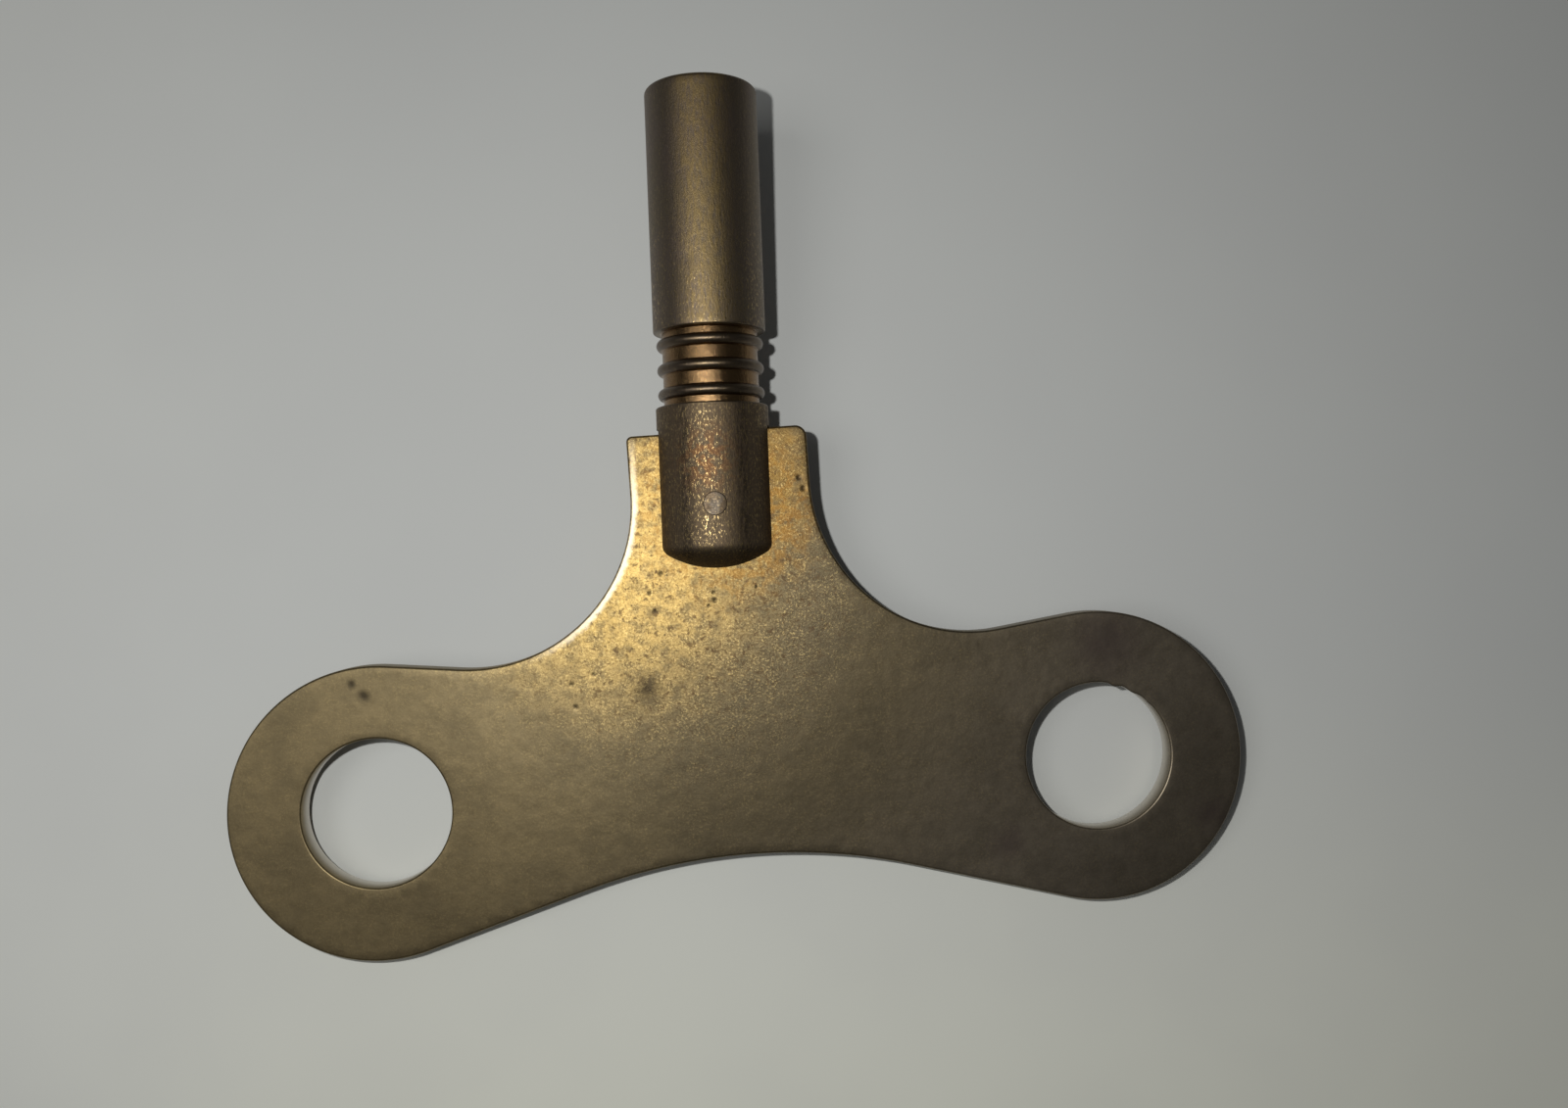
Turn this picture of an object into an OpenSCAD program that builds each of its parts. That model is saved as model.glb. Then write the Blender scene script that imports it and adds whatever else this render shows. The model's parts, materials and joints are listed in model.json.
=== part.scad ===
// Radiator bleed key in brass. A flat handle plate with two finger holes is held by one cross
// rivet in the slotted foot of a turned barrel, and the barrel's free end has a square socket.
//
// Frame: the origin is the centre of the socket's mouth. +Y runs out of the mouth along the
// barrel's axis, +X runs to the right across the plate, and +Z is up, out of the plate's face.
// The plate's mid-plane is z = 0, so the key lies the way it would on a table.

/* [Barrel] */
// Outside diameter of the barrel
barrel_d = 8; // [7.6:0.1:10]
// Length from the socket's mouth to the tip of the rounded foot
barrel_len = 34; // [32:0.5:40]
// Length of the plain section between the mouth and the beaded band
shank_len = 17.2; // [17:0.1:17.5]
// Height of the rounded tip of the foot
tip_h = 1.75; // [1.4:0.05:2.5]
// Radius of the foot's corner, where its side turns into the tip
tip_corner_r = 0.8; // [0.4:0.1:1.2]
// Chamfer round the barrel's free end
mouth_chamfer = 0.25; // [0.1:0.05:0.4]

/* [Beaded band] */
// Number of beads
bead_count = 3; // [1:1:3]
// Radius of each bead's round profile
bead_r = 0.42; // [0.4:0.02:0.56]
// Distance from one bead to the next
bead_pitch = 1.75; // [1.6:0.05:1.85]
// Length of the band
band_len = 5.3; // [5.2:0.1:5.5]
// How far a bead's crest lies below the barrel's surface
bead_drop = 0.2; // [0.1:0.05:0.25]
// Depth of the grooves between the beads
groove_depth = 0.6; // [0.5:0.05:0.7]

/* [Socket] */
// Width of the square socket across its flats
socket_w = 5; // [4:0.5:5]
// Depth of the square part of the socket
socket_depth = 12; // [8:0.5:13]
// Depth of the round hole that the square is cut in, without its drill point
pilot_depth = 14; // [13.5:0.5:15]
// Angle of the drill point at the bottom of the hole
drill_angle = 118; // [90:1:140]
// Width of the countersink round the drilled hole, at the mouth
lead_in = 0.5; // [0.2:0.05:0.6]

/* [Handle plate] */
// Thickness of the plate
plate_t = 2; // [1.5:0.1:2.5]
// Distance between the centres of the two finger holes
hole_pitch = 51; // [48:0.2:56]
// Diameter of a finger hole
hole_d = 10.4; // [8:0.2:12]
// Outside diameter of the round lobe about each finger hole
lobe_d = 20.6; // [19:0.2:21]
// Distance from the line of the finger holes down to the middle of the hollow lower edge
web_drop = 5; // [4:0.1:6]
// Radius of the hollow lower edge
lower_arc_r = 41.4; // [38:0.2:44]
// Radius of the two hollow shoulders
shoulder_r = 11.4; // [10.6:0.1:11.6]
// Height of the shoulders' centres above the line of the finger holes
shoulder_y = 20.9; // [20.8:0.1:22]
// Width of the neck
neck_w = 12.7; // [12:0.1:13.4]
// Height of the neck's top edge above the line of the finger holes
neck_top = 25; // [24:0.1:25]
// Radius of the neck's left top corner
neck_left_r = 0.2; // [0.1:0.1:1]
// Radius of the neck's right top corner, which is worn rounder
neck_right_r = 0.8; // [0.1:0.1:1]

/* [Riveted joint] */
// Diameter of the cross rivet
rivet_d = 1.6; // [1.2:0.1:3]
// Distance from the socket's mouth to the rivet
rivet_y = 29.5; // [29:0.1:30]
// Height of the rivet above the line of the finger holes
rivet_on_plate_y = 19.75; // [19:0.05:19.75]
// Sideways place of the rivet on the plate, from its middle
rivet_on_plate_x = -0.4; // [-0.6:0.1:0.6]
// Angle by which the plate sits out of square with the barrel
plate_lean = 2; // [-2:0.5:2]
// Length of the slot in the foot, from its tip
slot_len = 10; // [10:0.1:10.3]

/* [Hidden] */
$fn = 96;
brass = "#7d6b45";
dark_brass = "#6a5a3c";
barrel_r = barrel_d / 2;
foot_y = shank_len + band_len;
tip_y = barrel_len - tip_h;
core_r = barrel_r - groove_depth;
lobe_r = lobe_d / 2;
hole_x = hole_pitch / 2;
neck_half = neck_w / 2;
// Overlap that carries a cut clear through a face
over = 1;
// Where an edge would only touch a circle it runs this deep into it, so that the two cross
bite = 0.002;

// Centres of the circles that shape the right half of the plate
lobe_c = [hole_x, 0];
lower_c = [0, -web_drop - lower_arc_r];
shoulder_c = [neck_half + shoulder_r, shoulder_y];

// The two points where a line that crosses between two circles touches the first and the second.
// turn is 1 or -1 and picks one of the two such lines.
function crossing_tangent(c1, r1, c2, r2, turn) =
    let (
        apart = norm(c2 - c1),
        along = (c2 - c1) / apart,
        across = turn * [-along[1], along[0]],
        reach = (r1 + r2) / apart,
        to_touch = along * reach + across * sqrt(1 - reach * reach)
    )
    [c1 + r1 * to_touch, c2 - r2 * to_touch];

// Straight edges between the lobe and the hollow lower edge, and between shoulder and lobe
lower_edge = crossing_tangent(lower_c, lower_arc_r - bite, lobe_c, lobe_r - bite, 1);
upper_edge = crossing_tangent(shoulder_c, shoulder_r - bite, lobe_c, lobe_r - bite, -1);

module handle_plate() {
    color(brass)
        place_on_rivet()
            translate([0, 0, -plate_t / 2])
                linear_extrude(plate_t)
                    plate_outline();
}

// Turns the plate about the rivet and puts it on the barrel's axis. Inside, the origin is the
// middle of the line of the finger holes.
module place_on_rivet() {
    translate([0, -rivet_y, 0])
        rotate(plate_lean)
            translate([-rivet_on_plate_x, -rivet_on_plate_y, 0])
                children();
}

module plate_outline() {
    right_side = half_outline(neck_right_r);
    left_side = [for (p = half_outline(neck_left_r)) mirrored(p)];
    last = len(left_side) - 1;
    difference() {
        union() {
            polygon(concat(right_side, [for (i = [last:-1:0]) left_side[i]]));
            plate_arcs(neck_right_r);
            mirror([1, 0])
                plate_arcs(neck_left_r);
        }
        translate(lower_c)
            circle(r = lower_arc_r, $fn = 4 * $fn);
        shoulder();
        mirror([1, 0])
            shoulder();
        for (side = [-1, 1])
            translate([side * hole_x, 0])
                circle(d = hole_d);
        translate([rivet_on_plate_x, rivet_on_plate_y])
            circle(d = rivet_d);
    }
}

function mirrored(p) = [-p[0], p[1]];

// The plate's right side from the bottom up, with straight chords in place of its arcs
function half_outline(corner_r) = [
    lower_edge[0],
    lower_edge[1],
    lobe_c,
    upper_edge[1],
    upper_edge[0],
    [neck_half, shoulder_y],
    [neck_half, neck_top - corner_r],
    [neck_half - corner_r, neck_top]
];

// The round lobe and the neck's round corner
module plate_arcs(corner_r) {
    translate(lobe_c)
        circle(r = lobe_r, $fn = 2 * $fn);
    corner_c = [neck_half - corner_r, neck_top - corner_r];
    pie(corner_c, corner_r, corner_c + [corner_r, 0], corner_c + [0, corner_r]);
}

// What the hollow shoulder takes off the plate, up to where the neck's straight side begins
module shoulder() {
    pie(shoulder_c, shoulder_r, lobe_c, [neck_half, shoulder_y]);
}

// The slice of a disc between two directions, less than a third of a turn apart
module pie(c, r, from, to) {
    intersection() {
        translate(c)
            circle(r = r, $fn = 2 * $fn);
        polygon([c, 2 * from - c, 2 * to - c]);
    }
}

module barrel() {
    color(dark_brass)
        difference() {
            along_barrel()
                rotate_extrude()
                    barrel_profile();
            plate_slot();
            socket();
            translate([0, -rivet_y, 0])
                cylinder(h = barrel_d + 2 * over, d = rivet_d, center = true);
        }
}

// Lays a shape that was drawn upwards along +Z down along +Y
module along_barrel() {
    rotate([-90, 0, 0])
        children();
}

// Half section of the turned barrel, with the socket's mouth at the top
module barrel_profile() {
    polygon([
        [0, -shank_len],
        [barrel_r, -shank_len],
        [barrel_r, -mouth_chamfer],
        [barrel_r - mouth_chamfer, 0],
        [0, 0]
    ]);
    translate([0, -foot_y])
        square([core_r, band_len]);
    beads();
    translate([0, -tip_y])
        square([barrel_r, tip_y - foot_y]);
    tip_profile();
}

module beads() {
    middle = shank_len + band_len / 2;
    for (i = [0:bead_count - 1])
        translate([barrel_r - bead_drop - bead_r, -middle + (i - (bead_count - 1) / 2) * bead_pitch])
            circle(r = bead_r);
}

// The rounded tip: a small corner arc that runs smoothly into a wide crown arc
module tip_profile() {
    corner_c = [barrel_r - tip_corner_r, 0];
    flatter = tip_h - tip_corner_r + bite;
    crown_up = (corner_c[0] * corner_c[0] - flatter * flatter) / (2 * flatter);
    crown_c = [0, crown_up];
    translate([0, -tip_y]) {
        intersection() {
            translate(corner_c)
                circle(r = tip_corner_r);
            translate([0, -barrel_len])
                square([barrel_r, barrel_len]);
        }
        intersection() {
            translate(crown_c)
                circle(r = crown_up + tip_h, $fn = 2 * $fn);
            polygon([
                [0, 0],
                corner_c,
                2 * corner_c - crown_c,
                [0, -barrel_len]
            ]);
        }
    }
}

// The saw cut through the foot that takes the plate's neck
module plate_slot() {
    translate([-barrel_r - over, -barrel_len - over, -plate_t / 2])
        cube([barrel_d + 2 * over, slot_len + over, plate_t]);
}

// A countersunk round hole with a drill point, squared for most of its depth
module socket() {
    half_w = socket_w / 2;
    point_h = half_w / tan(drill_angle / 2);
    translate([-half_w, -socket_depth, -half_w])
        cube([socket_w, socket_depth + over, socket_w]);
    along_barrel()
        rotate_extrude()
            polygon([
                [0, -pilot_depth - point_h],
                [half_w, -pilot_depth],
                [half_w, -lead_in],
                [half_w + lead_in + over, over],
                [0, over]
            ]);
}

// The rivet's two ends are filed to the barrel's round surface
module cross_rivet() {
    color(dark_brass)
        intersection() {
            translate([0, -rivet_y, 0])
                cylinder(h = barrel_d + 2 * over, d = rivet_d, center = true);
            along_barrel()
                translate([0, 0, -barrel_len])
                    cylinder(h = barrel_len, r = barrel_r);
        }
}

handle_plate();
barrel();
cross_rivet();
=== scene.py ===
import json
import math

import bmesh
import bpy
import numpy as np
from mathutils import Euler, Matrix, Vector, kdtree, noise
from mathutils.geometry import delaunay_2d_cdt, intersect_ray_tri


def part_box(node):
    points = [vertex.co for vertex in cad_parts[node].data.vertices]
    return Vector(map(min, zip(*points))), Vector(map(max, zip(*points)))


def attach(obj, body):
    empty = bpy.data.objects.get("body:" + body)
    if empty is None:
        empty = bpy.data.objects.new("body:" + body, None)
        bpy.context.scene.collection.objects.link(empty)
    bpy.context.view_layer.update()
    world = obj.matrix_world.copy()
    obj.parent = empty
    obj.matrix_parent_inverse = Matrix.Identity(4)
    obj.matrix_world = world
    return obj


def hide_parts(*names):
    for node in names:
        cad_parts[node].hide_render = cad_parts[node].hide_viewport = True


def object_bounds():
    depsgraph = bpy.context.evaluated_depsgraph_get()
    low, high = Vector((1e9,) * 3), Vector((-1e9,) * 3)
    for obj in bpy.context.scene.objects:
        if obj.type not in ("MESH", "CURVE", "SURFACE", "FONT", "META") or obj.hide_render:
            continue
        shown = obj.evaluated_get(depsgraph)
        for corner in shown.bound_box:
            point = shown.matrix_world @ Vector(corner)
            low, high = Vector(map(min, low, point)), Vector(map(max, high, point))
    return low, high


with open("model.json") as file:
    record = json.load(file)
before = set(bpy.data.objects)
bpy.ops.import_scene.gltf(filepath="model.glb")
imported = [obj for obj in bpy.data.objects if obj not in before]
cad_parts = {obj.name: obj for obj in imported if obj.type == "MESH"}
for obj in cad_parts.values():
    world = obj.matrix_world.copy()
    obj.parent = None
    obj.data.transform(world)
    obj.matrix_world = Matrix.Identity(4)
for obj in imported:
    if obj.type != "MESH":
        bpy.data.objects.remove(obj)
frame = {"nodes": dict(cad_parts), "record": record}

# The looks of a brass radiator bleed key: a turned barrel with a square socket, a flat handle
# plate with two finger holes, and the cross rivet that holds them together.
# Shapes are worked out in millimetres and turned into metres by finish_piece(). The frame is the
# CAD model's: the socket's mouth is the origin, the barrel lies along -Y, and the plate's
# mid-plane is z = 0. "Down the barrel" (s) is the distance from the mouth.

MM = 0.001
CAD_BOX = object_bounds()

# ---------------------------------------------------------------- sizes, in millimetres

# Handle plate. The lobes are a hair under the CAD model's 10.3, so that they stay in its box. The
# neck's left corner is rounder than its 0.2, to leave room for the rounding of the plate's edge.
PLATE_HALF_T = 1.0
LOBE_R = 10.29
HOLE_R = 5.2
WEB_DROP = 5.0
LOWER_ARC_R = 41.4
SHOULDER_R = 11.4
SHOULDER_Y = 20.9
NECK_HALF = 6.35
NECK_TOP = 25.0
NECK_LEFT_R = 0.4
NECK_RIGHT_R = 0.8
PLATE_EDGE_R = 0.18
HOLE_EDGE_R = 0.16
OUTLINE_STEP = 0.3
FACE_STEP = 0.5

# Barrel. The band's end walls slope in a little and run into the core in a slanted root.
BARREL_R = 4.0
MOUTH_EDGE_R = 0.3
BAND_START = 17.2
BAND_END = 22.5
BAND_EDGE_R = 0.12
BAND_WALL_SLOPE = 0.01
BAND_ROOT_IN = 0.08
BAND_ROOT_UP = 0.12
BEAD_BLEND = 0.1
CORE_R = 3.4
BEADS = 3
BEAD_R = 0.42
BEAD_CENTRE_R = 3.38
BEAD_PITCH = 1.75
SLOT_START = 24.0
SLOT_EDGE = 0.08
TIP_START = 32.25
TIP_CORNER_R = 0.8
TIP_H = 1.75
SOCKET_HALF = 2.5
SOCKET_DEPTH = 12.0
PILOT_DEPTH = 14.0
DRILL_POINT_H = 1.5
LEAD_IN = 0.5
LONG_STEP = 0.3
BAND_STEP = 0.04
CROWN_STEP = 0.16
CHEEK_COLUMNS = 88
GAP_COLUMNS = 8
WINDOW_COLUMNS = 24

# Cross rivet, a hair thinner than its hole
RIVET_R = 0.797
RIVET_HOLE_R = 0.80
RIVET_EDGE = 0.022
RIVET_COLUMNS = 64
# How far down the wall of the rivet's hole its middle ring of points lies
HOLE_WALL_RING = 0.35

# An edge that turns by more than this many degrees stays sharp
SHARP_ANGLE = 35


def mount_place(name):
    """The place of one of the record's mounts, in millimetres."""
    found = [m for m in frame["record"]["mounts"] if m["name"] == name]
    return Vector(found[0]["pos_m"]) / MM


def node_centre(name):
    low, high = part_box(name)
    return (low + high) / 2 / MM


LEFT_HOLE = mount_place("left_finger_hole").to_2d()
RIGHT_HOLE = mount_place("right_finger_hole").to_2d()
PLATE_ORIGIN = (LEFT_HOLE + RIGHT_HOLE) / 2
PLATE_ALONG = (RIGHT_HOLE - LEFT_HOLE).normalized()
PLATE_ACROSS = Vector((-PLATE_ALONG.y, PLATE_ALONG.x))
HOLE_X = (RIGHT_HOLE - LEFT_HOLE).length / 2
RIVET_S = -node_centre("cross_rivet").y


def plate_to_frame(p):
    return PLATE_ORIGIN + PLATE_ALONG * p[0] + PLATE_ACROSS * p[1]


def frame_to_plate(p):
    away = Vector(p) - PLATE_ORIGIN
    return Vector((away.dot(PLATE_ALONG), away.dot(PLATE_ACROSS)))


# ---------------------------------------------------------------- mesh helpers

def spread(start, end, step):
    """Even steps from start to end, no longer than step."""
    count = max(1, math.ceil(abs(end - start) / step - 1e-6))
    return [start + (end - start) * i / count for i in range(count + 1)]


def add_sheet(bm, rows, closed=False, skip=None):
    """Adds four-sided faces through rows of points. skip(row, column) leaves a face out."""
    made = [[bm.verts.new(p) for p in row] for row in rows]
    columns = len(rows[0])
    for i in range(len(rows) - 1):
        for j in range(columns if closed else columns - 1):
            if skip and skip(i, j):
                continue
            after = (j + 1) % columns
            bm.faces.new((made[i][j], made[i][after], made[i + 1][after], made[i + 1][j]))


def finish_piece(name, bm, material, node):
    """Welds the sheets into one closed solid, in metres, that stands for a CAD node."""
    bmesh.ops.remove_doubles(bm, verts=bm.verts, dist=0.001)
    bmesh.ops.dissolve_degenerate(bm, edges=bm.edges, dist=0.001)
    open_edges = [e for e in bm.edges if e.is_boundary]
    if open_edges:
        filled = bmesh.ops.holes_fill(bm, edges=open_edges, sides=0)
        bmesh.ops.triangulate(bm, faces=filled["faces"])
    bmesh.ops.recalc_face_normals(bm, faces=bm.faces)
    loose_edges = sum(1 for e in bm.edges if not e.is_manifold)
    print(name, "faces", len(bm.faces), "edges not joined", loose_edges)
    bmesh.ops.scale(bm, vec=(MM, MM, MM), verts=bm.verts)
    mesh = bpy.data.meshes.new(name)
    bm.to_mesh(mesh)
    bm.free()
    mesh.materials.append(material)
    mesh.shade_smooth()
    mesh.set_sharp_from_angle(angle=math.radians(SHARP_ANGLE))
    piece = bpy.data.objects.new(name, mesh)
    bpy.context.scene.collection.objects.link(piece)
    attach(piece, "root")
    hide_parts(node)
    return piece


# ---------------------------------------------------------------- handle plate

# Shallow pits in the plate's face: place on the plate, radius and depth
PITS = [
    ((-4.6, 15.2), 0.24, 0.05), ((-5.5, 13.9), 0.20, 0.05), ((-5.2, 12.6), 0.22, 0.04),
    ((-1.0, 13.6), 0.17, 0.05), ((-0.95, 13.05), 0.22, 0.06), ((-1.4, 12.7), 0.17, 0.04),
    ((2.05, 13.8), 0.14, 0.04), ((-11.4, 7.9), 0.20, 0.04), ((-9.8, 8.5), 0.17, 0.03),
    ((-11.2, 6.3), 0.22, 0.04), ((5.85, 20.5), 0.24, 0.06), ((5.6, 21.3), 0.26, 0.05),
    ((-26.6, 9.1), 0.34, 0.02), ((-25.8, 8.2), 0.44, 0.03), ((11.9, 12.3), 0.26, 0.03),
]
# Burrs on the right finger hole's upper rim: angle, half width in degrees, reach into the hole
BURRS = [(73, 4, 0.20), (58, 6, 0.15), (42, 4, 0.07)]
# How deep the faint waves of the plate's faces are
FACE_WAVE = 0.03
# Purple-brown patches on the right lobe, as a place on the plate and a reach
PURPLE_PATCHES = [((26.7, 8.0), 5.0), ((33.4, -4.6), 3.2), ((18.6, -5.6), 3.0)]
# The middle of one soft dark stain
STAIN = (-6.1, 7.3)


def arc(centre, radius, start, end, step=OUTLINE_STEP):
    """Points along an arc, without its last one."""
    count = max(4, math.ceil(abs(end - start) * radius / step))
    angles = [start + (end - start) * i / count for i in range(count)]
    return [centre + radius * Vector((math.cos(a), math.sin(a))) for a in angles]


def line(start, end):
    """Points along a straight line, without its last one."""
    count = max(1, math.ceil((end - start).length / OUTLINE_STEP))
    return [start.lerp(end, i / count) for i in range(count)]


def circle(centre, radius, count):
    """Points round a circle, clockwise, so that the metal is on its left side."""
    angles = [-math.tau * i / count for i in range(count)]
    return [centre + radius * Vector((math.cos(a), math.sin(a))) for a in angles]


def crossing_tangent(c1, r1, c2, r2, turn):
    """Where a line that crosses between two circles touches the first and the second."""
    apart = c2 - c1
    along = apart.normalized()
    across = turn * Vector((-along.y, along.x))
    reach = (r1 + r2) / apart.length
    to_touch = along * reach + across * math.sqrt(1 - reach * reach)
    return c1 + r1 * to_touch, c2 - r2 * to_touch


def angle_of(v):
    return math.atan2(v.y, v.x)


def half_outline(corner_r):
    """The plate's right side, from the middle of the lower edge up to the neck's top."""
    lobe = Vector((HOLE_X, 0))
    lower = Vector((0, -WEB_DROP - LOWER_ARC_R))
    shoulder = Vector((NECK_HALF + SHOULDER_R, SHOULDER_Y))
    corner = Vector((NECK_HALF - corner_r, NECK_TOP - corner_r))
    low_start, low_end = crossing_tangent(lower, LOWER_ARC_R, lobe, LOBE_R, 1)
    up_end, up_start = crossing_tangent(shoulder, SHOULDER_R, lobe, LOBE_R, -1)
    points = arc(lower, LOWER_ARC_R, math.pi / 2, angle_of(low_start - lower))
    points += line(low_start, low_end)
    points += arc(lobe, LOBE_R, angle_of(low_end - lobe), angle_of(up_start - lobe))
    points += line(up_start, up_end)
    points += arc(shoulder, SHOULDER_R, angle_of(up_end - shoulder) % math.tau, math.pi)
    points += line(Vector((NECK_HALF, SHOULDER_Y)), Vector((NECK_HALF, corner.y)))
    points += arc(corner, corner_r, 0, math.pi / 2, 0.1)
    points += line(Vector((corner.x, NECK_TOP)), Vector((0, NECK_TOP)))
    return points


def plate_outline():
    """The whole outline, anticlockwise."""
    right = half_outline(NECK_RIGHT_R)
    left = [Vector((-p.x, p.y)) for p in half_outline(NECK_LEFT_R)]
    return right + [Vector((0, NECK_TOP))] + left[:0:-1]


def face_drop(p):
    """How far the plate's face lies below its nominal plane at a point of the plate."""
    wave = 0.5 + 0.5 * noise.noise(Vector((p[0] * 0.16, p[1] * 0.16, 4.0)))
    ripple = 0.5 + 0.5 * noise.noise(Vector((p[0] * 0.7, p[1] * 0.7, 9.0)))
    drop = FACE_WAVE * (wave + 0.2 * ripple)
    for centre, radius, depth in PITS:
        away = math.hypot(p[0] - centre[0], p[1] - centre[1]) / radius
        if away < 1.6:
            drop += depth * math.exp(-2.2 * away * away)
    return drop


def rim_burr(p):
    """How far the right hole's upper rim reaches into the hole at a point of the rim."""
    angle = math.degrees(math.atan2(p.y, p.x - HOLE_X))
    return sum(reach * math.exp(-((angle - at) / half) ** 2) for at, half, reach in BURRS)


def edge_rows(loop, edge_r, burr=None):
    """Rings of points that round both edges of a loop's wall, from one face to the other."""
    steps = 5
    turns = [(-1, math.pi / 2 * (1 - k / steps)) for k in range(steps + 1)]
    turns += [(1, math.pi / 2 * k / steps) for k in range(steps + 1)]
    rows = []
    for side, turn in turns:
        row = []
        for i, p in enumerate(loop):
            along = loop[(i + 1) % len(loop)] - loop[i - 1]
            out = Vector((along.y, -along.x)).normalized()
            flat = p - out * edge_r * (1 - math.cos(turn))
            if burr and side > 0:
                flat += out * burr(p) * math.sin(2 * turn)
            height = PLATE_HALF_T - edge_r * (1 - math.sin(turn)) - face_drop(flat)
            row.append((flat.x, flat.y, side * height))
        rows.append(row)
    return rows


def in_metal(points, loops):
    """Which points lie in the metal: a ray from one crosses the loops an odd number of times."""
    p = np.array([tuple(q) for q in points])
    crossings = np.zeros(len(p), int)
    for loop in loops:
        a = np.array([tuple(q) for q in loop])
        b = np.roll(a, -1, axis=0)
        for (ax, ay), (bx, by) in zip(a, b):
            if ay != by:
                between = (p[:, 1] < ay) != (p[:, 1] < by)
                crossings += between & (p[:, 0] < ax + (p[:, 1] - ay) * (bx - ax) / (by - ay))
    return crossings % 2 == 1


def lattice(loops):
    """A triangular lattice of points over the face, with rings of closer points at each pit."""
    edge = kdtree.KDTree(sum(len(loop) for loop in loops))
    for i, p in enumerate(p for loop in loops for p in loop):
        edge.insert((p.x, p.y, 0), i)
    edge.balance()
    row_h = FACE_STEP * math.sqrt(3) / 2
    x_end = HOLE_X + LOBE_R
    points = []
    for i in range(int((NECK_TOP + LOBE_R) / row_h) + 1):
        for j in range(int(2 * x_end / FACE_STEP) + 1):
            p = Vector((-x_end + FACE_STEP * (j + 0.5 * (i % 2)), -LOBE_R + row_h * i))
            near_pit = any((p - Vector(c)).length < 1.9 * r for c, r, _ in PITS)
            if not near_pit and edge.find((p.x, p.y, 0))[2] > 0.55 * FACE_STEP:
                points.append(p)
    for centre, radius, _ in PITS:
        points.append(Vector(centre))
        for ring in (0.35, 0.7, 1.05, 1.5):
            points += circle(Vector(centre), ring * radius, 12)
    return [p for p, keep in zip(points, in_metal(points, loops)) if keep]


def fill_faces(bm, loops):
    """Adds both faces of the plate, each as the same fine web of triangles between the loops."""
    corners = [p for loop in loops for p in loop]
    edges = []
    for loop in loops:
        first = len(edges)
        edges += [(first + i, first + (i + 1) % len(loop)) for i in range(len(loop))]
    web = delaunay_2d_cdt(corners + lattice(loops), edges, [], 0, 1e-6)
    spots = web[0]
    middles = [(spots[a] + spots[b] + spots[c]) / 3 for a, b, c in web[2]]
    kept = [t for t, keep in zip(web[2], in_metal(middles, loops)) if keep]
    drops = [face_drop(p) for p in spots]
    for side in (-1, 1):
        made = [bm.verts.new((p.x, p.y, side * (PLATE_HALF_T - d))) for p, d in zip(spots, drops)]
        for a, b, c in kept:
            bm.faces.new((made[a], made[b], made[c]))
        for v in made:
            if not v.link_faces:
                bm.verts.remove(v)


def make_plate(material):
    bm = bmesh.new()
    rivet_hole = circle(frame_to_plate((0, -RIVET_S)), RIVET_HOLE_R, 48)
    walls = [
        edge_rows(plate_outline(), PLATE_EDGE_R),
        edge_rows(circle(Vector((-HOLE_X, 0)), HOLE_R, 144), HOLE_EDGE_R),
        edge_rows(circle(Vector((HOLE_X, 0)), HOLE_R, 240), HOLE_EDGE_R, rim_burr),
        edge_rows(rivet_hole, RIVET_EDGE),
    ]
    for rows in walls:
        add_sheet(bm, rows, closed=True)
    fill_faces(bm, [[Vector(p[:2]) for p in rows[-1]] for rows in walls])
    for v in bm.verts:
        flat = plate_to_frame(v.co)
        v.co = (flat.x, flat.y, v.co.z)
    return finish_piece("handle_plate_brass", bm, material, "handle_plate")


# ---------------------------------------------------------------- barrel

# Small dents in the barrel's upper side: place across and down the barrel, radius and depth
DENTS = [((-0.42, 29.75), 0.38, 0.05), ((0.15, 31.2), 0.5, 0.03), ((-2.1, 24.6), 0.35, 0.04),
         ((-1.9, 27.4), 0.4, 0.04), ((1.7, 6.4), 0.5, 0.02), ((-1.2, 12.5), 0.6, 0.02)]
# How deep the faint waves of the barrel's skin are
SKIN_WAVE = 0.02


def skin_drop(s, x, z):
    """How far the barrel's skin lies below its nominal radius."""
    wave = 0.5 + 0.5 * noise.noise(Vector((x * 0.5, s * 0.12, z * 0.5)))
    drop = SKIN_WAVE * wave
    if z > 0:
        for centre, radius, depth in DENTS:
            away = math.hypot(x - centre[0], s - centre[1]) / radius
            if away < 1.8:
                drop += depth * math.exp(-2 * away * away)
    return drop


def skin_point(s, r, angle):
    """A point of the barrel's outer skin."""
    x = r * math.cos(angle)
    z = r * math.sin(angle)
    shrink = 1 - skin_drop(s, x, z) / r
    return (x * shrink, -s, z * shrink)


def cheek_angles(r):
    """Angles across the upper cheek at radius r, from one edge of the slot to the other."""
    start = math.asin(min(1, (PLATE_HALF_T + SLOT_EDGE) / r))
    return [start + (math.pi - 2 * start) * i / CHEEK_COLUMNS for i in range(CHEEK_COLUMNS + 1)]


def ring_angles():
    """Angles all round the barrel, with the slot's edges among them."""
    upper = cheek_angles(BARREL_R)
    edge = upper[0]
    gap = [-edge + 2 * edge * i / GAP_COLUMNS for i in range(1, GAP_COLUMNS)]
    half = upper + [math.pi + a for a in gap]
    return half + [math.pi + a for a in half]


def smooth_max(a, b, blend):
    """The greater of two values, with a smooth turn from one to the other."""
    h = max(blend - abs(a - b), 0) / blend
    return max(a, b) + h * h * blend / 4


def band_radius(s):
    """The beaded band's radius: three round beads that run into the core."""
    middle = (BAND_START + BAND_END) / 2
    crest = 0
    for i in range(BEADS):
        away = s - middle - (i - (BEADS - 1) / 2) * BEAD_PITCH
        if abs(away) < BEAD_R:
            crest = BEAD_CENTRE_R + math.sqrt(BEAD_R * BEAD_R - away * away)
    return smooth_max(CORE_R, crest, BEAD_BLEND)


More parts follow.
